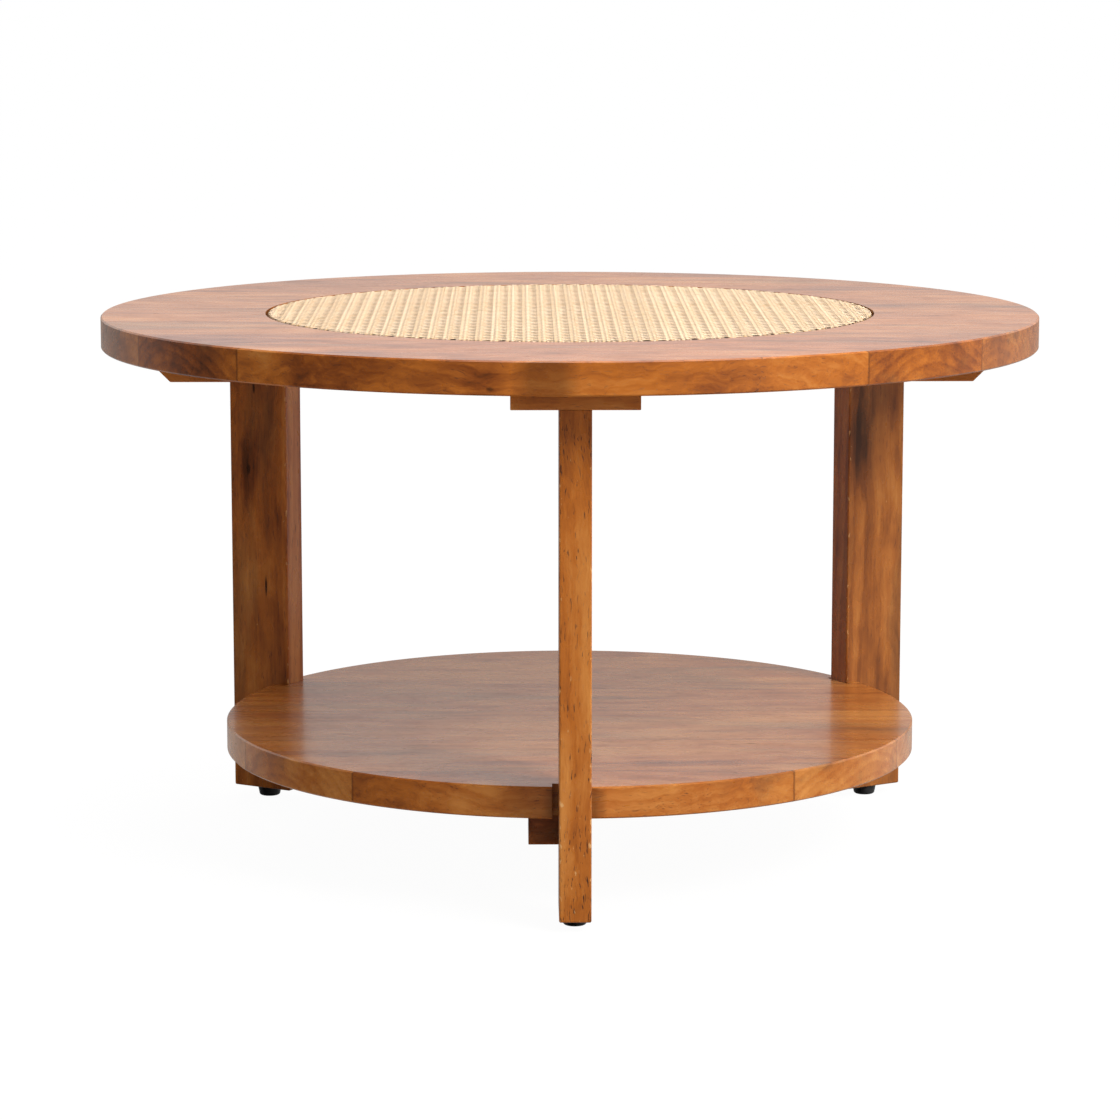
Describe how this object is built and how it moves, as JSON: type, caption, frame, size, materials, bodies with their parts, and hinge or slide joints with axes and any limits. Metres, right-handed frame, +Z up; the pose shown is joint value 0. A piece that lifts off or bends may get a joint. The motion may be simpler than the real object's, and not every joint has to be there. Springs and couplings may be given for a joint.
{
  "type": "coffee table",
  "caption": "Round three-legged wooden coffee table with a woven cane panel set in its top and a round lower shelf notched around the legs.",
  "frame": {"origin": "on the floor, on the vertical axis of the round tabletop", "axes": "+Z up, -Y towards the front leg, +X to the right seen from the front"},
  "size_m": [0.8, 0.8, 0.46],
  "materials": {
    "top_timber": "satin varnish",
    "shelf_timber": "satin varnish",
    "leg_timber": "satin varnish",
    "batten_timber": "oiled",
    "backing_board": "raw thin board",
    "cane": "natural cane webbing",
    "glide_rubber": "matt",
    "screw_steel": "zinc plated"
  },
  "bodies": {
    "root": {"top_board_1": "top_timber", "top_board_2": "top_timber", "top_board_3": "top_timber", "top_board_4": "top_timber", "top_board_5": "top_timber", "top_board_6": "top_timber", "top_board_7": "top_timber", "top_board_8": "top_timber", "shelf_board_1": "shelf_timber", "shelf_board_2": "shelf_timber", "shelf_board_3": "shelf_timber", "shelf_board_4": "shelf_timber", "shelf_board_5": "shelf_timber", "shelf_board_6": "shelf_timber", "cane_backing_board": "backing_board", "cane_webbing": "cane", "front_leg_plate": "batten_timber", "middle_batten": "batten_timber", "rear_batten": "batten_timber", "leg_front": "leg_timber", "leg_left": "leg_timber", "leg_right": "leg_timber", "shelf_cleat_front": "batten_timber", "shelf_cleat_left": "batten_timber", "shelf_cleat_right": "batten_timber", "glide_front": "glide_rubber", "glide_left": "glide_rubber", "glide_right": "glide_rubber", "leg_screws": "screw_steel", "batten_screws": "screw_steel", "cleat_leg_screws": "screw_steel", "cleat_shelf_screws": "screw_steel", "glide_nails": "screw_steel"}
  },
  "joints": []
}
